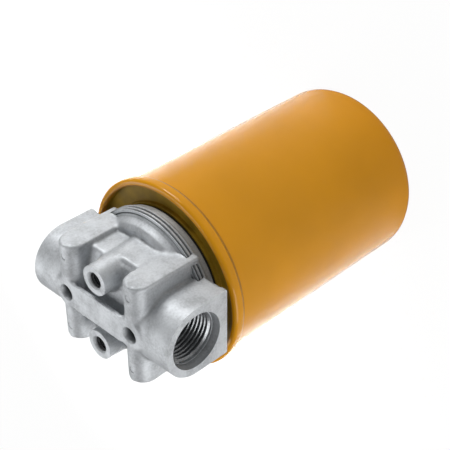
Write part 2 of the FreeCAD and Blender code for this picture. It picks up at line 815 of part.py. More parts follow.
# Tapped hole for the nipple and the bore above it, up to the outlet passage
sk = new_sketch(head, "outlet_profile", "XZ_Plane")
add_loop(sk, [
    (0, -seal_drop),
    (spin_radius, -seal_drop),
    (spin_radius, nipple_up + 0.2 - seal_drop),
    (size("outlet_bore"), nipple_up + 0.2 - seal_drop),
    (size("outlet_bore"), 0),
    (0, 0),
])
groove(head, "outlet_riser", sk)

# Ports, each with its seal cone, its tapped length and the cored passage
mouth_end = port_half - size("mouth_depth")
thread_end = port_half - size("port_thread_end")
passage = size("passage_radius")
partition_out = size("partition_place") + 0.5 * size("partition_wall")
partition_in = size("partition_place") - 0.5 * size("partition_wall")
sk = new_sketch(head, "inlet_port_profile", "XZ_Plane")
add_loop(sk, [
    (partition_out, 0),
    (partition_out, passage - 2.0),
    (partition_out + 2.0, passage),
    (thread_end, passage),
    (thread_end, size("port_thread_radius")),
    (mouth_end, size("port_thread_radius")),
    (mouth_end, size("mouth_inner_radius")),
    (port_half, size("mouth_radius")),
    (port_half, 0),
])
groove(head, "inlet_port", sk, "H_Axis")
sk = new_sketch(head, "outlet_port_profile", "XZ_Plane")
add_loop(sk, [
    (partition_in, 0),
    (-port_half, 0),
    (-port_half, size("mouth_radius")),
    (-mouth_end, size("mouth_inner_radius")),
    (-mouth_end, size("port_thread_radius")),
    (-thread_end, size("port_thread_radius")),
    (-thread_end, passage),
    (partition_in - 2.0, passage),
    (partition_in, passage - 2.0),
])
groove(head, "outlet_port", sk, "H_Axis")

# Opening from the inlet passage down into the ring chamber
drop_far = size("chamber_radius") - 1.0
sk = new_sketch(head, "inlet_drop_profile", "XY_Plane", -size("chamber_roof"))
drop_half = 0.5 * size("inlet_drop_width")
add_loop(sk, box_points(drop_far - size("inlet_drop_length"), drop_far, -drop_half, drop_half))
pocket(head, "inlet_drop", sk, size("chamber_roof") - 2.0, flip=True)

# Bore for the bypass seat through the chamber roof under the outlet passage
valve_place = size("valve_place")
valve_radius = size("valve_radius")
sk = new_sketch(head, "valve_profile", "XY_Plane", -size("chamber_roof"))
add_circle(sk, -valve_place, 0, valve_radius)
pocket(head, "valve_bore", sk, size("chamber_roof"), flip=True)

# Blind cored recesses in the lands, and the tapped holes in the bosses
sk = new_sketch(head, "gauge_profile", "XY_Plane", face_height)
add_circle(sk, -rib_place, 0, size("gauge_bore"))
add_circle(sk, rib_place, 0, size("gauge_bore"))
pocket(head, "gauge_recesses", sk, size("gauge_depth"))
sk = new_sketch(head, "bolt_profile", "XY_Plane", face_height)
add_circle(sk, 0, -boss_place, size("bolt_radius"))
add_circle(sk, 0, boss_place, size("bolt_radius"))
pocket(head, "bolt_holes", sk, size("bolt_depth"))


def bolt_mouth(edge):
    middle = edge.BoundBox.Center
    return (edge.Curve.TypeId == "Part::GeomCircle"
            and near(edge.Curve.Radius, size("bolt_radius").number)
            and near(middle.z, face_height.number))


round_edges(head, "bolt_bevels", bolt_mouth, size("bolt_bevel"), "Chamfer")


# Cast rounding of the raised forms, each set of edges found by where it lies
def pad_end(edge):
    middle = edge.BoundBox.Center
    return (edge.Curve.TypeId == "Part::GeomCircle"
            and near(edge.Curve.Radius, pad_radius.number)
            and near(abs(middle.y), rib_half.number))


def nose_ridge(edge):
    middle = edge.BoundBox.Center
    return (edge.Curve.TypeId == "Part::GeomLine"
            and near(middle.z, size("nose_height").number)
            and near(abs(middle.y), nose_half.number)
            and edge.BoundBox.YLength < 0.01)


def boss_root(edge):
    box = edge.BoundBox
    return (edge.Curve.TypeId == "Part::GeomEllipse"
            and abs(box.Center.x) < 1.0
            and box.ZMin > size("shelf_height").number - 3.0)


round_edges(head, "pad_rounds", pad_end, size("pad_round"))
round_edges(head, "nose_rounds", nose_ridge, size("nose_round"))
round_edges(head, "boss_rounds", boss_root, size("boss_round"))


# Bypass valve between the ring chamber and the outlet passage
seat_top = axis_level - size("valve_seat_top")
seat_height = size("chamber_roof") - size("valve_seat_top")
seat = new_body("bypass_seat", lift=seat_top, shift=-valve_place)
sk = new_sketch(seat, "seat_profile", "XZ_Plane")
add_loop(sk, box_points(size("valve_seat_bore"), valve_radius, -seat_height, 0))
revolve(seat, "seat_ring", sk)

washer_base = seat_top + size("valve_play")
washer = new_body("bypass_washer", lift=washer_base, shift=-valve_place)
sk = new_sketch(washer, "washer_profile", "XZ_Plane")
add_loop(sk, box_points(0, size("valve_disc_radius"), 0, size("valve_washer")))
revolve(washer, "washer_disc", sk)

disc_base = washer_base + size("valve_washer")
disc_thickness = size("valve_disc_thickness")
stem_radius = size("valve_stem_radius")
poppet = new_body("bypass_poppet", lift=disc_base, shift=-valve_place)
sk = new_sketch(poppet, "poppet_profile", "XZ_Plane")
add_loop(sk, [
    (0, 0),
    (size("valve_disc_radius"), 0),
    (size("valve_disc_radius"), disc_thickness),
    (stem_radius, disc_thickness),
    (stem_radius, disc_thickness + size("valve_stem_length")),
    (0, disc_thickness + size("valve_stem_length")),
])
revolve(poppet, "poppet_turned", sk)

cage_under = seat_top + size("valve_cage_height")
cage = new_body("bypass_cage", lift=seat_top, shift=-valve_place)
sk = new_sketch(cage, "guide_profile", "XZ_Plane")
guide_base = size("valve_cage_height")
add_loop(sk, box_points(stem_radius + size("valve_stem_play"), valve_radius,
                        guide_base, guide_base + size("valve_cage_top")))
revolve(cage, "guide", sk)
leg_half = 0.5 * size("valve_leg_width")
leg_in = valve_radius - size("valve_leg_wall")
sk = new_sketch(cage, "cage_leg_profile", "XY_Plane")
leg_in_x = root(leg_in * leg_in - leg_half * leg_half)
leg_out_x = root(valve_radius * valve_radius - leg_half * leg_half)
add_loop(sk, [
    (leg_out_x, -leg_half),
    (leg_out_x, leg_half),
    (leg_in_x, leg_half),
    (leg_in_x, -leg_half),
], {0: ((0, 0), 1), 2: ((0, 0), -1)})
cage_leg = pad(cage, "cage_leg", sk, guide_base)
polar(cage, "cage_legs", [cage_leg], size("valve_leg_count"))

wire = size("valve_wire")
coil_base = disc_base + disc_thickness
coil_height = cage_under - coil_base
coil = new_body("bypass_spring", lift=coil_base, shift=-valve_place)
sk = new_sketch(coil, "wire_profile", "XZ_Plane")
add_circle(sk, size("valve_spring_radius"), 0.5 * wire, 0.5 * wire)
helix = coil.newObject("PartDesign::AdditiveHelix", "coils")
helix.Profile = sk
helix.ReferenceAxis = (sk, ["V_Axis"])
helix.Mode = "height-turns-angle"
bind(helix, "Height", coil_height - wire)
bind(helix, "Turns", size("valve_coils"))
sk.Visibility = False


# Recompute, check every object, then write one file per piece
doc.recompute()
for item in doc.Objects:
    state = [text for text in item.State if text in ("Invalid", "Error")]
    if state:
        raise RuntimeError("%s: %s" % (item.Label, ", ".join(item.State)))
pieces = [item for item in doc.Objects if item.TypeId == "PartDesign::Body"]
for piece in pieces:
    if piece.Shape.isNull() or not piece.Shape.isValid():
        raise RuntimeError("%s has no sound solid" % piece.Label)
    for feature in piece.Group:
        if feature.TypeId in ("PartDesign::Pocket", "PartDesign::Groove"):
            if feature.Shape.Volume > feature.BaseFeature.Shape.Volume - 0.001:
                raise RuntimeError("%s cuts nothing" % feature.Label)

os.makedirs("parts", exist_ok=True)
for piece in pieces:
    piece.Shape.exportStep("parts/%s.step" % piece.Label)
    box = piece.Shape.BoundBox
    print("%-18s solids %d volume %.1f box %.2f %.2f %.2f to %.2f %.2f %.2f" % (
        piece.Label, len(piece.Shape.Solids), piece.Shape.Volume,
        box.XMin, box.YMin, box.ZMin, box.XMax, box.YMax, box.ZMax))
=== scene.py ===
import math

import bmesh
import bpy
from mathutils import Matrix, Vector


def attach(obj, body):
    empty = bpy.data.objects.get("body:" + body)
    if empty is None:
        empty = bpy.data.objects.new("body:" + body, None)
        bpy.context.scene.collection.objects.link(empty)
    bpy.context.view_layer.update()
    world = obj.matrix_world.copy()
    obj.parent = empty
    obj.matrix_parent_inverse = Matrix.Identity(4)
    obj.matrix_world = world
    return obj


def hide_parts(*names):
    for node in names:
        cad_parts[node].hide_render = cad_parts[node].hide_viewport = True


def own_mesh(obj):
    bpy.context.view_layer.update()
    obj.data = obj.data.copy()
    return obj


bl_info = {
    "name": "Spin-on hydraulic filter",
    "version": (1, 0, 0),
    "blender": (4, 5, 0),
    "location": "View3D > Sidebar > Filter",
    "description": "Dresses a spin-on hydraulic filter and its die-cast head, and sets its studio",
    "category": "Object",
}

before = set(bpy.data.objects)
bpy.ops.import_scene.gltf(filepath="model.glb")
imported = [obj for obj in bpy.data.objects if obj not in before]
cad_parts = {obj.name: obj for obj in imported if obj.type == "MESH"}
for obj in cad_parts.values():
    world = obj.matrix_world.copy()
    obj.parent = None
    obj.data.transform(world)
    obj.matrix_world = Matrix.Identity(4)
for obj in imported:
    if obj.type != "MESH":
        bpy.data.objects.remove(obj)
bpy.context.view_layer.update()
MM = 0.001

# Places and sizes that pieces share, in millimetres
AXIS = 162.2  # height of the port axis over the can's flat end
MOUNT_FACE = 18.8  # port axis up to the mounting face
DISC_UNDER = 23.3  # port axis down to the sealing face of the disc
BOSS_PLACE = 19.05  # mounting bosses, either side of the can axis along Y
LAND_PLACE = 22.6  # lands and ribs, either side of the can axis along X
PORT_FACE = 47.2  # port faces, either side of the can axis along X
PORT_MAJOR = 13.49  # radius of the port thread at its root
BOLT_MAJOR = 3.97  # radius of the bolt thread at its root
CHAMBER = 28.5  # outer radius of the ring chamber
CAN_RADIUS = 48.25  # outside of the can
CAN_BORE = 47.55  # inside of the can
SEAM_RADIUS = 50.06  # outside of the seam
SEAM_TOP = 139.35  # top of the seam over the can's flat end


def linear(code):
    """An sRGB hex value as the linear colour that Blender's sockets take."""
    parts = [int(code[i:i + 2], 16) / 255 for i in (1, 3, 5)]
    return tuple(c / 12.92 if c <= 0.04045 else ((c + 0.055) / 1.055) ** 2.4 for c in parts)


# ---------------------------------------------------------------- properties

class FilterSizes(bpy.types.PropertyGroup):
    """Sizes that a user of the filter may want to change."""

    skin_voxel: bpy.props.FloatProperty(
        name="Casting detail", description="Size of the facets of the cast skin",
        default=0.5 * MM, min=0.3 * MM, max=3 * MM, precision=5, unit="LENGTH")
    skin_passes: bpy.props.IntProperty(
        name="Edge rounding", description="Smoothing passes over the whole casting",
        default=4, min=0, max=60)
    blend_passes: bpy.props.IntProperty(
        name="Inner blends",
        description="Further smoothing passes in the inner corners of the casting",
        default=16, min=0, max=200)
    lathe_steps: bpy.props.IntProperty(
        name="Turned steps", description="Segments round the can and its seam",
        default=256, min=32, max=720)
    thread_steps: bpy.props.IntProperty(
        name="Thread steps", description="Segments in one turn of a thread",
        default=64, min=12, max=180)
    port_pitch: bpy.props.FloatProperty(
        name="Port thread pitch", description="Twelve threads to the inch",
        default=2.1167 * MM, precision=5, unit="LENGTH")
    bolt_pitch: bpy.props.FloatProperty(
        name="Bolt thread pitch", description="Eighteen threads to the inch",
        default=1.4111 * MM, precision=5, unit="LENGTH")


class FilterColours(bpy.types.PropertyGroup):
    """Colours of the filter's finishes."""

    casting: bpy.props.FloatVectorProperty(
        name="Die-cast aluminium", description="Colour of the blasted casting",
        subtype="COLOR", size=3, min=0, max=1, default=linear("#C6C9CC"))
    machined: bpy.props.FloatVectorProperty(
        name="Machined aluminium", description="Colour of faced and bored aluminium",
        subtype="COLOR", size=3, min=0, max=1, default=linear("#C9CCCF"))
    enamel: bpy.props.FloatVectorProperty(
        name="Can enamel", description="Colour of the paint on the can",
        subtype="COLOR", size=3, min=0, max=1, default=linear("#DE9708"))
    # The lid colour is darker partly as its own lacquer and partly as painted shade of the mouth
    lid: bpy.props.FloatVectorProperty(
        name="Lid lacquer", description="Colour inside the mouth of the cartridge",
        subtype="COLOR", size=3, min=0, max=1, default=linear("#A08022"))
    rubber: bpy.props.FloatVectorProperty(
        name="Nitrile rubber", description="Colour of the gasket and seals",
        subtype="COLOR", size=3, min=0, max=1, default=linear("#1B1B1D"))
    floor: bpy.props.FloatVectorProperty(
        name="Floor", description="Colour of the studio floor",
        subtype="COLOR", size=3, min=0, max=1, default=linear("#F4F4F3"))


# ------------------------------------------------------------------ materials

def add_node(tree, kind, settings=None, links=None):
    """One shader node.

    settings holds attributes and socket values, links holds input name ->
    output socket."""
    node = tree.nodes.new(kind)
    for key, value in (settings or {}).items():
        if isinstance(key, str) and hasattr(node, key) and key not in node.inputs:
            setattr(node, key, value)
        else:
            node.inputs[key].default_value = value
    for key, output in (links or {}).items():
        tree.links.new(output, node.inputs[key])
    return node


def new_material(name):
    """An empty node material with its Principled shader, its tree and its object coordinates."""
    material = bpy.data.materials.new(name)
    material.use_nodes = True
    tree = material.node_tree
    shader = tree.nodes["Principled BSDF"]
    place = add_node(tree, "ShaderNodeTexCoord").outputs["Object"]
    return material, tree, shader, place


def per_mm(size):
    """Texture scale, in metres, of a pattern whose features are this many millimetres wide."""
    return 1000.0 / size


def noise_of(tree, place, size, detail):
    """Noise between 0 and 1 whose features are this many millimetres wide."""
    node = add_node(tree, "ShaderNodeTexNoise", {"Scale": per_mm(size), "Detail": detail},
                    {"Vector": place})
    return node.outputs["Fac"]


def sum_of(tree, first, share, second):
    """A share of the first value added to the second."""
    node = add_node(tree, "ShaderNodeMath", {"operation": "MULTIPLY_ADD", 1: share},
                    {0: first, 2: second})
    return node.outputs[0]


def range_of(tree, value, before, after):
    """A value taken from one (low, high) range to another."""
    node = add_node(tree, "ShaderNodeMapRange",
                    {"From Min": before[0], "From Max": before[1],
                     "To Min": after[0], "To Max": after[1]}, {"Value": value})
    return node.outputs[0]


def shade_of(colour, factor):
    """A colour made lighter or darker by a factor, and never over white."""
    return tuple(min(1.0, c * factor) for c in colour)


def tint_of(tree, source, colour, stops):
    """A colour that drifts with a value, from a list of (position, factor of the colour)."""
    node = add_node(tree, "ShaderNodeValToRGB", links={"Fac": source})
    elements = node.color_ramp.elements
    shades = [(position, (*shade_of(colour, factor), 1)) for position, factor in stops]
    elements[0].position, elements[0].color = shades[0]
    elements[1].position, elements[1].color = shades[-1]
    for position, shade in shades[1:-1]:
        elements.new(position).color = shade
    return node.outputs["Color"]


def add_bump(tree, shader, height, strength, depth):
    """Bump on the shader from a height between 0 and 1; depth is in millimetres."""
    bump = add_node(tree, "ShaderNodeBump", {"Strength": strength, "Distance": depth * MM},
                    {"Height": height})
    tree.links.new(bump.outputs[0], shader.inputs["Normal"])


def cast_aluminium():
    """Pressure die-cast aluminium, blasted.

    To the eye it is satin, with a fine grain and the cloudy flow marks of the
    die."""
    colour = bpy.context.scene.filter_colours.casting
    material, tree, shader, place = new_material("die_cast_aluminium")
    clouds = noise_of(tree, place, 9, 3.0)
    specks = noise_of(tree, place, 1.1, 2.0)
    grain = noise_of(tree, place, 0.45, 2.0)
    mottle = sum_of(tree, specks, 0.6, clouds)
    tint = tint_of(tree, mottle, colour, [(0.55, 0.80), (0.80, 1.0), (1.05, 1.10)])
    # Painted shade: inner corners, found by their pointiness, are darkened down to 0.3 of the
    # colour
    form = add_node(tree, "ShaderNodeNewGeometry").outputs["Pointiness"]
    inner = range_of(tree, form, (0.45, 0.497), (0.3, 1.0))
    corner_shaded = add_node(tree, "ShaderNodeVectorMath", {"operation": "SCALE"},
                      {0: tint, "Scale": inner})
    tree.links.new(corner_shaded.outputs[0], shader.inputs["Base Color"])
    rough = range_of(tree, mottle, (0.6, 1.1), (0.68, 0.58))
    tree.links.new(rough, shader.inputs["Roughness"])
    add_bump(tree, shader, sum_of(tree, specks, 0.5, grain), 0.35, 0.06)
    shader.inputs["Metallic"].default_value = 0.9
    return material


def machined_aluminium():
    """Faced and bored aluminium: brighter than the casting, with faint rings of the tool."""
    colour = bpy.context.scene.filter_colours.machined
    material, tree, shader, place = new_material("machined_aluminium")
    centred = add_node(tree, "ShaderNodeMapping", {"Location": (0, 0, -AXIS * MM)},
                       {"Vector": place})
    # The wave turns through 20 radians in a unit, so these rings come every 2.5 mm
    rings = add_node(tree, "ShaderNodeTexWave",
                     {"wave_type": "RINGS", "rings_direction": "X",
                      "Scale": per_mm(0.4) / 20, "Distortion": 0.3},
                     {"Vector": centred.outputs[0]})
    smear = noise_of(tree, place, 2.5, 3.0)
    tint = tint_of(tree, smear, colour, [(0.3, 0.86), (0.7, 1.05)])
    tree.links.new(tint, shader.inputs["Base Color"])
    add_bump(tree, shader, rings.outputs["Fac"], 0.25, 0.02)
    shader.inputs["Metallic"].default_value = 1.0
    shader.inputs["Roughness"].default_value = 0.34
    return material


def drifting(name, colour, grain, detail, stops, bump, roughness, metallic=0.0):
    """A material with a drifting tone, and bump of the same grain.

    grain is in millimetres, stops holds (position, factor of the colour), and
    bump is its strength and its depth in millimetres."""
    material, tree, shader, place = new_material(name)
    noise = noise_of(tree, place, grain, detail)
    tint = tint_of(tree, noise, colour, stops)
    tree.links.new(tint, shader.inputs["Base Color"])
    add_bump(tree, shader, noise, *bump)
    shader.inputs["Metallic"].default_value = metallic
    shader.inputs["Roughness"].default_value = roughness
    return material


def tapped_aluminium_shaded():
    """Tapped aluminium, its flanks torn a little by the tap, darkened to 0.30 to 0.55 of the
    machined colour as painted shade inside the threads.
    """
    return drifting("tapped_aluminium_shaded", bpy.context.scene.filter_colours.machined, 0.8, 2.0,
                    [(0.35, 0.30), (0.65, 0.55)], (0.2, 0.03), 0.3, 1.0)


def bore_shade_aluminium():
    """Drilled aluminium deep in a tapped hole, with a bump of torn metal, and darkened to 0.08 to
    0.18 of the machined colour as painted shade of the hole.
    """
    return drifting("bore_shade_aluminium", bpy.context.scene.filter_colours.machined, 1.2, 2.0,
                    [(0.35, 0.08), (0.65, 0.18)], (0.2, 0.03), 0.35, 1.0)


def can_enamel():
    """Stoved enamel on drawn steel: glossy, with a slight orange peel and a slow drift of tone."""
    colour = bpy.context.scene.filter_colours.enamel
    material, tree, shader, place = new_material("stoved_enamel")
    drift = noise_of(tree, place, 40, 2.0)
    tint = tint_of(tree, drift, colour, [(0.3, 0.94), (0.7, 1.04)])
    tree.links.new(tint, shader.inputs["Base Color"])
    add_bump(tree, shader, noise_of(tree, place, 2.2, 1.0), 0.12, 0.02)
    shader.inputs["Roughness"].default_value = 0.14
    shader.inputs["Specular IOR Level"].default_value = 0.32
    return material


def mouth_lacquer_shaded():
    """Thin lacquer over steel inside the mouth: duller than the enamel, and darker partly as its
    own colour and partly as painted shade of the mouth.
    """
    colour = bpy.context.scene.filter_colours.lid
    material, tree, shader, place = new_material("mouth_lacquer_shaded")
    stain = noise_of(tree, place, 7, 4.0)
    tint = tint_of(tree, stain, colour, [(0.3, 0.75), (0.7, 1.15)])
    tree.links.new(tint, shader.inputs["Base Color"])
    add_bump(tree, shader, stain, 0.15, 0.03)
    shader.inputs["Roughness"].default_value = 0.42
    shader.inputs["Specular IOR Level"].default_value = 0.2
    return material


def plain_metal(name, code, low, high, grain, roughness):
    """A metal whose tone drifts between two shades over a grain of so many millimetres."""
    return drifting(name, linear(code), grain, 3.0, [(0.3, low), (0.7, high)],
                    (0.15, 0.02), roughness, 1.0)


def plain_solid(name, colour, low, high, grain, depth, roughness):
    """A non-metal whose tone drifts over its grain, with a bump that is so deep."""
    return drifting(name, colour, grain, 3.0, [(0.3, low), (0.7, high)],
                    (0.4, depth), roughness)


FINISHES = {}


def finish_of(name):
    """The finish of that name, made the first time that it is asked for."""
    colours = bpy.context.scene.filter_colours
    makers = {
        "cast": cast_aluminium,
        "machined": machined_aluminium,
        "tapped": tapped_aluminium_shaded,
        "bore_shade": bore_shade_aluminium,
        "enamel": can_enamel,
        "lacquer": mouth_lacquer_shaded,
        # Enamel under the seam and on its inner edge, darkened to 0.6 of the enamel colour as
        # painted shade of the seam
        "seam_shade": lambda: plain_solid("seam_shade_enamel", shade_of(colours.enamel, 0.6),
                                       0.9, 1.1, 3.0, 0.02, 0.5),
        # Zinc plate: pale, slightly blue, with the spangle of the bath
        "zinc": lambda: plain_metal("zinc_plate", "#B9BABD", 0.85, 1.08, 1.5, 0.34),
        # Oiled spring steel: dark and fairly smooth
        "spring": lambda: plain_metal("spring_steel", "#77797D", 0.8, 1.1, 0.8, 0.3),
        # Phosphated plate under the lid: near black, with a brown cast
        "plate": lambda: plain_solid("phosphated_steel", linear("#3A3226"),
                                     0.8, 1.2, 1.2, 0.02, 0.5),
        # Moulded nitrile rubber: matt black, with a fine bloom
        "rubber": lambda: plain_solid("nitrile_rubber", tuple(colours.rubber),
                                      0.8, 1.3, 0.7, 0.03, 0.6),
        # Resin-bonded filter paper: cream fibres
        "paper": lambda: plain_solid("filter_paper", linear("#D9CDAE"),
                                     0.88, 1.06, 0.5, 0.08, 0.85),
        # Set epoxy adhesive: brown and slightly glossy
        "adhesive": lambda: plain_solid("epoxy_adhesive", linear("#8A6038"),
                                        0.85, 1.1, 4.0, 0.05, 0.45),
    }
    if name not in FINISHES:
        FINISHES[name] = makers[name]()
    return FINISHES[name]


# ------------------------------------------------------------- mesh helpers

def new_piece(name, shape, body, finishes, slot, *nodes):
    """A mesh object from a bmesh, riding on a body; it may stand for CAD nodes."""
    mesh = bpy.data.meshes.new(name)
    shape.to_mesh(mesh)
    shape.free()
    mesh.materials.clear()
    for finish in finishes:
        mesh.materials.append(finish_of(finish))
    piece = bpy.data.objects.new(name, mesh)
    bpy.context.scene.collection.objects.link(piece)
    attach(piece, body)
    if nodes:
        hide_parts(*nodes)
    return piece


def loose_object(name, shape):
    """A plain object from a bmesh, such as a helper that is used while a piece is made."""
    mesh = bpy.data.meshes.new(name)
    shape.to_mesh(mesh)
    shape.free()
    item = bpy.data.objects.new(name, mesh)
    bpy.context.scene.collection.objects.link(item)
    return item


def applied_mesh(item):
    """The object's mesh with its modifiers applied; the object is removed."""
    bpy.context.view_layer.update()
    graph = bpy.context.evaluated_depsgraph_get()
    mesh = bpy.data.meshes.new_from_object(item.evaluated_get(graph))
    bpy.data.objects.remove(item)
    return mesh


def span(side, near, far):
    """The lower and the upper end of a stretch on one side of the can axis."""
    return sorted((side * near, side * far))


def set_finish(made, index):
    """Gives every face of what was just made one of the piece's finishes."""
    for face in {f for v in made["verts"] for f in v.link_faces}:
        face.material_index = index


def add_rod(shape, radius, start, end, segments=96, tip=None, index=0):
    """A closed rod between two points, in millimetres; tip is the radius at its end."""
    start, end = Vector(start) * MM, Vector(end) * MM
    along = end - start
    turn = along.to_track_quat("Z", "Y").to_matrix().to_4x4()
    made = bmesh.ops.create_cone(
        shape, cap_ends=True, cap_tris=False, segments=segments, radius1=radius * MM,
        radius2=(radius if tip is None else tip) * MM, depth=along.length,
        matrix=Matrix.Translation((start + end) / 2) @ turn)
    set_finish(made, index)


def add_block(shape, low, high, index=0):
    """A closed box between two corners, in millimetres."""
    low, high = Vector(low) * MM, Vector(high) * MM
    made = bmesh.ops.create_cube(
        shape, size=1.0,
        matrix=Matrix.Translation((low + high) / 2) @ Matrix.Diagonal((*(high - low), 1)))
    set_finish(made, index)


def add_turned(shape, outline, axis="Z", centre=(0, 0, 0), steps=96, rounds=None,
               closed=True, index=0):
    """A turned solid from an outline of (radius, height) in millimetres.

    rounds maps a corner of the outline to its rounding; an outline that is
    not closed has its ends on the axis."""
    verts = [shape.verts.new((r * MM, 0, h * MM)) for r, h in outline]
    pairs = list(zip(verts, verts[1:]))
    if closed:
        pairs.append((verts[-1], verts[0]))
    edges = [shape.edges.new(pair) for pair in pairs]
    profile = set(verts) | set(edges)
    for corner, radius in (rounds or {}).items():
        made = bmesh.ops.bevel(
            shape, geom=[verts[corner]], offset=radius * MM, offset_type="WIDTH",
            segments=5, profile=0.5, affect="VERTICES", material=-1, clamp_overlap=True)
        profile |= set(made["verts"]) | set(made["edges"])
    profile = [item for item in profile if item.is_valid]
    whole = set(profile)
    for item in profile:
        if isinstance(item, bmesh.types.BMVert):
            whole |= set(item.link_edges)
    before = set(shape.faces)
    bmesh.ops.spin(
        shape, geom=list(whole), cent=(0, 0, 0), axis=(0, 0, 1), dvec=(0, 0, 0),
        angle=2 * math.pi, steps=steps, use_merge=True, use_normal_flip=False,
        use_duplicate=False)
    faces = [f for f in shape.faces if f not in before]
    verts = list({v for f in faces for v in f.verts})
    bmesh.ops.remove_doubles(shape, verts=verts, dist=1e-7)
    faces = [f for f in shape.faces if f not in before]
    bmesh.ops.recalc_face_normals(shape, faces=faces)
    for face in faces:
        face.material_index = index
    verts = list({v for f in faces for v in f.verts})
    turn = {"Z": Matrix.Identity(4), "X": Matrix.Rotation(math.pi / 2, 4, "Y"),
            "-X": Matrix.Rotation(-math.pi / 2, 4, "Y")}[axis]
    bmesh.ops.transform(shape, matrix=Matrix.Translation(Vector(centre) * MM) @ turn,
                        verts=verts)


def add_thread(shape, outline, pitch, turns, steps, start, axis):
    """A closed helical ridge from its (radius, height) outline.

    start is the point where the axis begins, and steps are counted in one
    turn."""
    verts = [shape.verts.new((r * MM, 0, h * MM)) for r, h in outline]
    edges = [shape.edges.new(pair) for pair in zip(verts, verts[1:] + verts[:1])]
    shape.faces.new(verts)
    before = set(shape.verts) - set(verts)
    end = bmesh.ops.spin(
        shape, geom=verts + edges, cent=(0, 0, 0), axis=(0, 0, 1),
        dvec=(0, 0, pitch / steps), angle=2 * math.pi * turns,
        steps=int(round(steps * turns)), use_merge=False, use_normal_flip=False,
        use_duplicate=False)
    last = [item for item in end["geom_last"] if isinstance(item, bmesh.types.BMEdge)]
    bmesh.ops.contextual_create(shape, geom=last)
    made = [v for v in shape.verts if v not in before]
    faces = list({f for v in made for f in v.link_faces})
    bmesh.ops.recalc_face_normals(shape, faces=faces)
    turn = Vector(axis).to_track_quat("Z", "Y").to_matrix().to_4x4()
    bmesh.ops.transform(shape, matrix=Matrix.Translation(Vector(start) * MM) @ turn,
                        verts=made)


def smooth_faces(mesh, angle=35):
    """Smooth shading with sharp edges where two faces meet at more than that many degrees."""
    mesh.polygons.foreach_set("use_smooth", [True] * len(mesh.polygons))
    mesh.set_sharp_from_angle(angle=math.radians(angle))


# ----------------------------------------------------------------- operators

class FILTER_OT_stage(bpy.types.Operator):
    """Build the pale floor, the soft studio light and the camera"""

    bl_idname = "filter.stage"
    bl_label = "Studio"

    def execute(self, context):
        scene = context.scene
        scene.view_settings.view_transform = "Standard"
        floor_shape = bmesh.new()
        bmesh.ops.create_grid(floor_shape, x_segments=1, y_segments=1, size=4.0)
        bmesh.ops.translate(floor_shape, vec=(0, 0, -0.0003), verts=floor_shape.verts[:])
        floor = loose_object("studio_floor", floor_shape)
        floor.data.materials.append(self.floor_material(scene))
        self.surroundings(scene)
        # Broad lights on the object: place, width in metres, watts
        self.lamp("key_light", (-0.42, 0.95, 0.20), 0.38, 6.0)
        self.lamp("side_light", (0.90, -0.40, 0.40), 0.7, 5.4)
        self.lamp("top_light", (-0.60, -0.40, 1.10), 0.9, 6.2)
        # Gridded ones that only brighten the floor behind and beside it
        self.lamp("floor_light", (-0.36, -0.36, 0.32), 0.2, 1.3, (-0.19, -0.19, 0.0), 40)
        self.lamp("left_floor_light", (-0.56, -0.06, 0.32), 0.2, 1.1, (-0.33, -0.05, 0.0), 34)
        self.lamp("right_floor_light", (-0.06, -0.56, 0.32), 0.2, 1.1, (-0.05, -0.33, 0.0), 34)
        self.camera(scene)
        return {"FINISHED"}

    def floor_material(self, scene):
        """Matt white sweep that the camera sees whiter, so that only the shadow shows."""
        material, tree, shader, _ = new_material("studio_sweep")
        tree.nodes.remove(shader)
        output = tree.nodes["Material Output"]
        colour = (*scene.filter_colours.floor, 1)
        matt = add_node(tree, "ShaderNodeBsdfDiffuse", {"Color": colour})
        glow = add_node(tree, "ShaderNodeEmission", {"Color": (1, 1, 1, 1), "Strength": 1.0})
        path = add_node(tree, "ShaderNodeLightPath")
        share = add_node(tree, "ShaderNodeMath", {"operation": "MULTIPLY", 1: 0.97},
                         {0: path.outputs["Is Camera Ray"]})
        mix = add_node(tree, "ShaderNodeMixShader", links={
            "Fac": share.outputs[0], 1: matt.outputs[0], 2: glow.outputs[0]})
        tree.links.new(mix.outputs[0], output.inputs["Surface"])
        return material

    def surroundings(self, scene):
        """White surroundings for the eye, faint ones for gloss, and a grey level for the light."""
        world = bpy.data.worlds.new("studio")
        scene.world = world
        world.use_nodes = True
        tree = world.node_tree
        path = add_node(tree, "ShaderNodeLightPath")
        gloss = add_node(tree, "ShaderNodeMath", {"operation": "MAXIMUM"},
                         {0: path.outputs["Is Glossy Ray"], 1: path.outputs["Is Transmission Ray"]})
        dimmed = add_node(tree, "ShaderNodeMath", {"operation": "MULTIPLY", 1: 0.15},
                          {0: gloss.outputs[0]})
        part = add_node(tree, "ShaderNodeMath", {"operation": "MAXIMUM"},
                        {0: path.outputs["Is Camera Ray"], 1: dimmed.outputs[0]})
        level = range_of(tree, part.outputs[0], (0.0, 1.0), (0.17, 1.0))
        back = tree.nodes["Background"]
        back.inputs["Color"].default_value = (1, 1, 1, 1)
        tree.links.new(level, back.inputs["Strength"])

    def lamp(self, name, place, size, energy, aim=(0, 0, 0.1), spread=180):
        """A square area lamp turned to its aim; spread is in degrees."""
        data = bpy.data.lights.new(name, "AREA")
        data.shape = "SQUARE"
        data.size = size
        data.energy = energy
        data.spread = math.radians(spread)
        item = bpy.data.objects.new(name, data)
        bpy.context.scene.collection.objects.link(item)
        item.location = place
        along = Vector(aim) - Vector(place)
        item.rotation_euler = along.to_track_quat("-Z", "Y").to_euler()

    def camera(self, scene):
        """The camera at the photograph's viewing angle, fitted to points in the photograph."""
        data = bpy.data.cameras.new("photograph_view")
        data.lens = 85.718
        data.sensor_width = 36
        data.clip_start = 0.01
        item = bpy.data.objects.new("photograph_view", data)
        scene.collection.objects.link(item)
        right = Vector((0.71448, -0.00136, -0.69965))
        up = Vector((-0.39781, 0.82183, -0.40784))
        back = Vector((0.57555, 0.56973, 0.58665))
        turn = Matrix((right, up, back)).transposed()
        item.matrix_world = Matrix.Translation((0.312671, 0.317365, 0.414658)) @ turn.to_4x4()
        scene.camera = item


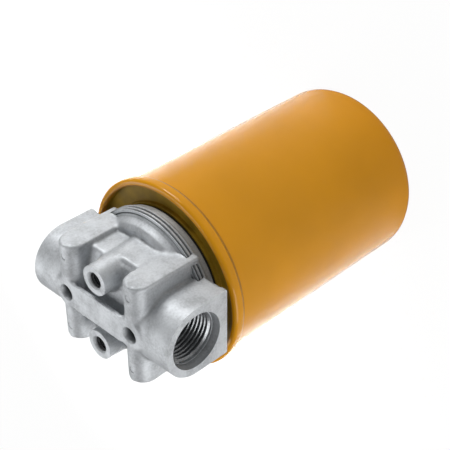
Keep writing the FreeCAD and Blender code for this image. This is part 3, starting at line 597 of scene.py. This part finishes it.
class FILTER_OT_casting(bpy.types.Operator):
    """Build the die-cast head: its soft cast skin first, then what is machined into it"""

    bl_idname = "filter.casting"
    bl_label = "Head casting"

    def execute(self, context):
        sizes = context.scene.filter_sizes
        # The third finish is the painted shade of the tapped holes in the bosses
        finishes = ["cast", "machined", "bore_shade"]
        body = loose_object("casting_blank", self.blank())
        remesh = body.modifiers.new("skin", "REMESH")
        remesh.mode = "VOXEL"
        remesh.voxel_size = sizes.skin_voxel
        blank = applied_mesh(body)
        skin = bmesh.new()
        skin.from_mesh(blank)
        self.soften(skin, sizes)
        body = loose_object("casting_skin", skin)
        for finish in finishes:
            body.data.materials.append(finish_of(finish))
        cutters = (("faces", self.faces()), ("bores", self.bores()), ("links", self.links()))
        for name, cutter in cutters:
            tool = loose_object("cut_" + name, cutter)
            for finish in finishes:
                tool.data.materials.append(finish_of(finish))
            cut = body.modifiers.new(name, "BOOLEAN")
            cut.operation = "DIFFERENCE"
            cut.solver = "MANIFOLD"
            cut.object = tool
            mesh = applied_mesh(body)
            bpy.data.objects.remove(tool)
            body = bpy.data.objects.new("casting_skin", mesh)
            context.scene.collection.objects.link(body)
        skin = bmesh.new()
        skin.from_mesh(body.data)
        bpy.data.objects.remove(body)
        if len(skin.faces) < 1000:
            raise RuntimeError("the cast skin was lost while it was cut")
        self.mark_edges(skin)
        new_piece("head_casting", skin, "head", finishes, "cast_aluminium", "filter_head")
        return {"FINISHED"}

    def blank(self):
        """The solid with allowance that is cut off again: cut edges are crisp, cast ones soft."""
        skin = bmesh.new()
        skin.from_mesh(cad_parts["filter_head"].data)
        bmesh.ops.remove_doubles(skin, verts=skin.verts[:], dist=1e-6)
        block = 18.6  # half the width of a port block, and the radius of its round top
        reach = 49.5  # how far the blank of a port block goes
        for side in (-1, 1):
            # Port block, its bore filled
            add_rod(skin, block, (side * 30, 0, AXIS), (side * reach, 0, AXIS))
            low, high = span(side, 44, reach)
            add_block(skin, (low, -block, AXIS - 19.4), (high, block, AXIS))
            # Mounting boss, its hole filled
            add_rod(skin, 8.5, (0, side * BOSS_PLACE, AXIS + 1),
                    (0, side * BOSS_PLACE, AXIS + 21.5), tip=7.5)
            # Metal between this boss and the rib of the inlet side, level with the rib
            low, high = span(side, 18, 27.6)
            add_block(skin, (0, low, AXIS - 11), (17, high, AXIS + 5.6))
            # Recess in the land, filled
            add_rod(skin, 6.0, (side * LAND_PLACE, 0, AXIS + 12),
                    (side * LAND_PLACE, 0, AXIS + 18.75))
        # Disc, its chamber and its edge filled
        add_rod(skin, 37.8, (0, 0, AXIS - 25.5), (0, 0, AXIS - 18))
        add_rod(skin, 30.0, (0, 0, AXIS - 20), (0, 0, AXIS - 12))
        return skin

    def soften(self, skin, sizes):
        """Round all edges a little, then blend the inner corners as the die's fillets do."""
        def smooth(verts, passes):
            for _ in range(passes):
                bmesh.ops.smooth_vert(skin, verts=verts, factor=0.5,
                                      use_axis_x=True, use_axis_y=True, use_axis_z=True)

        smooth(skin.verts[:], sizes.skin_passes)
        skin.normal_update()
        corner = set()
        for edge in skin.edges:
            if len(edge.link_faces) == 2 and edge.calc_face_angle_signed() < -0.10:
                corner.update(edge.verts)
        low = (AXIS - 14.0) * MM  # the disc below keeps its corners
        corner = {v for v in corner if v.co.z > low}
        for _ in range(4):
            corner |= {e.other_vert(v) for v in list(corner) for e in v.link_edges}
        smooth([v for v in corner if v.co.z > low], sizes.blend_passes)

    def faces(self):
        """Port faces, boss faces, sealing face, cored recesses and the ejector pins' marks."""
        tool = bmesh.new()
        floor = MOUNT_FACE - 4.6
        recess = [(0, floor), (3.9, floor), (4.05, 18.0), (4.5, 18.85), (4.5, 22), (0, 22)]
        mark = [(0, 18.15), (1.5, 18.15), (1.8, 18.15), (2.3, MOUNT_FACE), (2.3, 22), (0, 22)]
        for side in (-1, 1):
            low, high = span(side, PORT_FACE, 60)
            add_block(tool, (low, -30, AXIS - 30), (high, 30, AXIS + 30), 1)
            low, high = span(side, 9, 29)
            add_block(tool, (-10, low, AXIS + MOUNT_FACE), (10, high, AXIS + 30), 1)
            add_turned(tool, recess, centre=(side * LAND_PLACE, 0, AXIS), steps=64,
                       closed=False)
            for end in (-1, 1):
                add_turned(tool, mark, centre=(side * LAND_PLACE, end * 21, AXIS), steps=48,
                           closed=False)
        add_block(tool, (-42, -42, AXIS - 30), (42, 42, AXIS - DISC_UNDER), 1)
        return tool

    def bores(self):
        """Ports with their seal cones, tapped holes, ring chamber and room for the disc edge."""
        tool = bmesh.new()
        bolt = [(0, 2.8), (BOLT_MAJOR, 2.8), (BOLT_MAJOR, 18.05), (4.75, MOUNT_FACE),
                (4.75, 22), (0, 22)]
        # The inlet passage ends short of the axis, and the outlet passage runs past it
        for axis, side, inner in (("X", 1, 14.0), ("-X", -1, -9.0)):
            port = [(0, inner), (8.5, inner), (10.5, inner + 2), (10.5, 25.7),
                    (PORT_MAJOR, 25.7), (PORT_MAJOR, 43.1), (13.9, 43.1), (14.7, PORT_FACE),
                    (14.7, 50), (0, 50)]
            add_turned(tool, port, axis=axis, centre=(0, 0, AXIS), steps=160, closed=False,
                       index=1)
            add_turned(tool, bolt, centre=(0, side * BOSS_PLACE, AXIS), steps=96,
                       closed=False, index=2)
        chamber = [(15.6, -25), (CHAMBER, -25), (CHAMBER, -14.5), (15.6, -14.5)]
        add_turned(tool, chamber, centre=(0, 0, AXIS), steps=128)
        edge_room = [(34.3, -25), (38.62, -25), (38.62, -14.3), (35.4, -14.3),
                     (35.4, -14.85), (34.3, -14.85)]
        add_turned(tool, edge_room, centre=(0, 0, AXIS), steps=256)
        return tool

    def links(self):
        """Hole for the nipple, the riser over it, the inlet's drop and the valve seat's bore."""
        tool = bmesh.new()
        riser = [(0, -25), (12.7, -25), (12.7, -13.5), (9.6, -13.5), (9.6, 0), (0, 0)]
        add_turned(tool, riser, centre=(0, 0, AXIS), steps=128, closed=False, index=1)
        add_block(tool, (19.5, -7, AXIS - 16), (27.5, 7, AXIS - 2))
        add_rod(tool, 4.8, (-20.5, 0, AXIS - 16), (-20.5, 0, AXIS - 0.5), 64, index=1)
        return tool

    def mark_edges(self, skin):
        """Smooth shading everywhere but along the cuts."""
        skin.normal_update()
        for face in skin.faces:
            face.smooth = True
        for edge in skin.edges:
            if len(edge.link_faces) != 2:
                continue
            machined = any(face.material_index > 0 for face in edge.link_faces)
            angle = abs(edge.calc_face_angle_signed())
            edge.smooth = not (machined and angle > 0.35) and angle < 1.2


class FILTER_OT_disc_edge(bpy.types.Operator):
    """Build the edge of the head's disc with the fine steps that the die leaves round it"""

    bl_idname = "filter.disc_edge"
    bl_label = "Disc edge"

    def execute(self, context):
        shape = bmesh.new()
        outline = [
            (34.0, -DISC_UNDER), (37.1, -DISC_UNDER), (37.2, -20.7),
            # Widest land, then two narrower ones with grooves between
            (38.6, -19.2), (38.6, -18.25), (37.75, -18.05),
            (37.7, -17.35), (38.45, -17.15), (38.45, -16.25), (37.65, -16.05),
            (37.6, -15.45), (38.2, -15.25), (38.15, -14.85), (36.9, -14.75),
            # Shallow groove in the top, by the dome
            (36.45, -15.3), (36.0, -14.75), (35.4, -14.35), (34.0, -14.35)]
        add_turned(shape, outline, centre=(0, 0, AXIS),
                   steps=context.scene.filter_sizes.lathe_steps, rounds={3: 0.2, 12: 0.15})
        piece = new_piece("disc_edge", shape, "head", ["cast"], "cast_aluminium")
        smooth_faces(piece.data, 30)
        return {"FINISHED"}


class FILTER_OT_threads(bpy.types.Operator):
    """Build the threads of the ports and of the mounting bosses"""

    bl_idname = "filter.threads"
    bl_label = "Threads"

    def execute(self, context):
        sizes = context.scene.filter_sizes
        # Sixty degree threads with small flats on their crests and roots
        half = sizes.port_pitch / MM / 2
        outline = [(13.6, -half + 0.12), (12.42, -0.14), (12.42, 0.14), (13.6, half - 0.12)]
        shape = bmesh.new()
        for side in (-1, 1):
            add_thread(shape, outline, sizes.port_pitch, 7.4, sizes.thread_steps,
                       (side * 26.9, 0, AXIS), (side, 0, 0))
        piece = new_piece("port_threads", shape, "head", ["tapped"], "cast_aluminium")
        smooth_faces(piece.data, 20)

        half = sizes.bolt_pitch / MM / 2
        outline = [(4.02, -half + 0.08), (3.30, -0.09), (3.30, 0.09), (4.02, half - 0.08)]
        shape = bmesh.new()
        for side in (-1, 1):
            add_thread(shape, outline, sizes.bolt_pitch, 9.5, sizes.thread_steps // 2,
                       (0, side * BOSS_PLACE, AXIS + 4.0), (0, 0, 1))
        piece = new_piece("boss_threads", shape, "head", ["bore_shade", "tapped"], "cast_aluminium")
        # The roots and flanks of these small threads keep the bore's painted shade; only the crests
        # take the tapped finish, which is less dark
        crest = 3.4 * MM
        for face in piece.data.polygons:
            if math.hypot(face.center.x, abs(face.center.y) - BOSS_PLACE * MM) < crest:
                face.material_index = 1
        smooth_faces(piece.data, 20)
        return {"FINISHED"}


class FILTER_OT_can(bpy.types.Operator):
    """Build the drawn and enamelled can with its dished end"""

    bl_idname = "filter.can"
    bl_label = "Can"

    def execute(self, context):
        shape = bmesh.new()
        outline = [
            # Dished end, the flat ring it stands on, and the wall
            (0, 1.5), (26.0, 1.5), (30.0, 0.0), (37.95, 0.0), (CAN_RADIUS, 0.0),
            (CAN_RADIUS, 132.2), (CAN_RADIUS, 132.95),
            # Hook of the seam
            (48.07, 134.15), (48.07, 137.2), (48.67, 137.2), (48.67, 135.8),
            (49.3, 135.8), (49.3, 138.6), (47.2, 138.6), (47.2, 134.15),
            # Back along the inside
            (CAN_BORE, 132.95), (CAN_BORE, 0.7), (37.95, 0.7), (30.2, 0.7), (26.0, 2.2),
            (0, 2.2)]
        add_turned(shape, outline, steps=context.scene.filter_sizes.lathe_steps, closed=False,
                   rounds={1: 2.0, 2: 1.5, 4: 10.3, 12: 1.2, 13: 0.6, 16: 9.6, 18: 1.0, 19: 2.2})
        piece = new_piece("can_skin", shape, "cartridge", ["enamel", "seam_shade"], "can_paint",
                          "can_shell")
        # Above this height, under the seam, the enamel is darkened as painted shade
        shade_start = 132.3 * MM
        for face in piece.data.polygons:
            if face.center.z > shade_start:
                face.material_index = 1
        smooth_faces(piece.data, 35)
        return {"FINISHED"}


class FILTER_OT_lid(bpy.types.Operator):
    """Build the lid whose rolled edge makes the seam, with its gasket groove"""

    bl_idname = "filter.lid"
    bl_label = "Lid and seam"

    def execute(self, context):
        shape = bmesh.new()
        inside = SEAM_TOP - 0.7  # the sheet is 0.7 mm thick
        lip = SEAM_TOP - 2.2  # foot of the rounded lip, inside the mouth
        outline = [
            # Under the floor, and down into the fold round the can's hook
            (30.0, 134.3), (47.14, 134.3), (47.14, inside), (49.36, inside),
            (49.36, 134.25), (48.6, 134.25), (48.6, 137.9), (47.9, 137.9), (47.9, 133.55),
            # Bead of the seam, and down the wall of the mouth
            (SEAM_RADIUS, 133.55), (SEAM_RADIUS, SEAM_TOP), (46.44, SEAM_TOP),
            (46.44, lip), (46.44, 135.0),
            # Floor with the two walls of the gasket groove
            (37.5, 135.0), (37.5, 137.2), (36.1, 137.2), (36.1, 135.0),
            (30.7, 135.0), (30.7, 137.2), (30.0, 137.2)]
        add_turned(shape, outline, steps=context.scene.filter_sizes.lathe_steps,
                   rounds={2: 0.6, 3: 1.4, 4: 1.4, 9: 2.3, 10: 2.3, 11: 1.25, 8: 0.35,
                           13: 0.8, 14: 0.6, 15: 0.5, 16: 0.3})
        piece = new_piece("lid_skin", shape, "cartridge", ["enamel", "lacquer", "seam_shade"],
                          "can_paint", "seaming_lid")
        for face in piece.data.polygons:
            middle = face.center
            reach = math.hypot(middle.x, middle.y) / MM
            # Inside the mouth: the lacquer, whose darkness is partly painted shade
            if reach < 40 or (reach < 46.6 and middle.z < lip * MM):
                face.material_index = 1
            # The foot of the bead and the inner edge of the mouth take the enamel darkened as
            # painted shade
            elif middle.z < 134.5 * MM or (reach < 47.2 and middle.z > lip * MM):
                face.material_index = 2
        smooth_faces(piece.data, 35)
        return {"FINISHED"}


class FILTER_OT_inner_parts(bpy.types.Operator):
    """Give the gasket, the nipple, the element and the valve their finishes"""

    bl_idname = "filter.inner_parts"
    bl_label = "Inner parts"

    def execute(self, context):
        wanted = {
            "rubber": ["head_gasket", "element_seal", "bypass_washer"],
            "zinc": ["threaded_nipple", "top_end_cap", "bottom_end_cap", "centre_tube",
                     "media_seam_clip", "bypass_seat", "bypass_cage", "bypass_poppet"],
            "plate": ["base_plate"],
            "spring": ["element_spring"],
            "paper": ["pleated_media"],
            "adhesive": ["top_potting", "bottom_potting"],
        }
        for finish, names in wanted.items():
            for name in names:
                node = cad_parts[name]
                node.data.materials.clear()
                node.data.materials.append(finish_of(finish))
        return {"FINISHED"}


class FILTER_OT_valve_spring(bpy.types.Operator):
    """Build the spring of the bypass valve, which is squeezed as the valve lifts"""

    bl_idname = "filter.valve_spring"
    bl_label = "Valve spring"

    def execute(self, context):
        coil = bmesh.new()
        coil.from_mesh(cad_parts["bypass_spring"].data)
        bmesh.ops.remove_doubles(coil, verts=coil.verts[:], dist=1e-6)
        piece = new_piece("valve_spring", coil, "bypass_valve", ["spring"], "spring_steel",
                          "bypass_spring")
        smooth_faces(piece.data)
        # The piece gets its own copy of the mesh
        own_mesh(piece)
        return {"FINISHED"}


class FILTER_PT_panel(bpy.types.Panel):
    """Buttons for the studio and for each group of pieces"""

    bl_idname = "FILTER_PT_panel"
    bl_label = "Hydraulic filter"
    bl_space_type = "VIEW_3D"
    bl_region_type = "UI"
    bl_category = "Filter"

    def draw(self, context):
        layout = self.layout
        for group in (context.scene.filter_sizes, context.scene.filter_colours):
            box = layout.box()
            for name in group.__annotations__:
                box.prop(group, name)
        for step in STEPS:
            layout.operator(step.bl_idname)


STEPS = (
    FILTER_OT_stage,
    FILTER_OT_casting,
    FILTER_OT_disc_edge,
    FILTER_OT_threads,
    FILTER_OT_can,
    FILTER_OT_lid,
    FILTER_OT_inner_parts,
    FILTER_OT_valve_spring,
)
CLASSES = (FilterSizes, FilterColours, *STEPS, FILTER_PT_panel)


def register():
    for item in CLASSES:
        bpy.utils.register_class(item)
    bpy.types.Scene.filter_sizes = bpy.props.PointerProperty(type=FilterSizes)
    bpy.types.Scene.filter_colours = bpy.props.PointerProperty(type=FilterColours)


def unregister():
    del bpy.types.Scene.filter_colours
    del bpy.types.Scene.filter_sizes
    for item in reversed(CLASSES):
        bpy.utils.unregister_class(item)


def main():
    register()
    for step in STEPS:
        area, name = step.bl_idname.split(".")
        getattr(getattr(bpy.ops, area), name)()


if __name__ == "__main__":
    main()
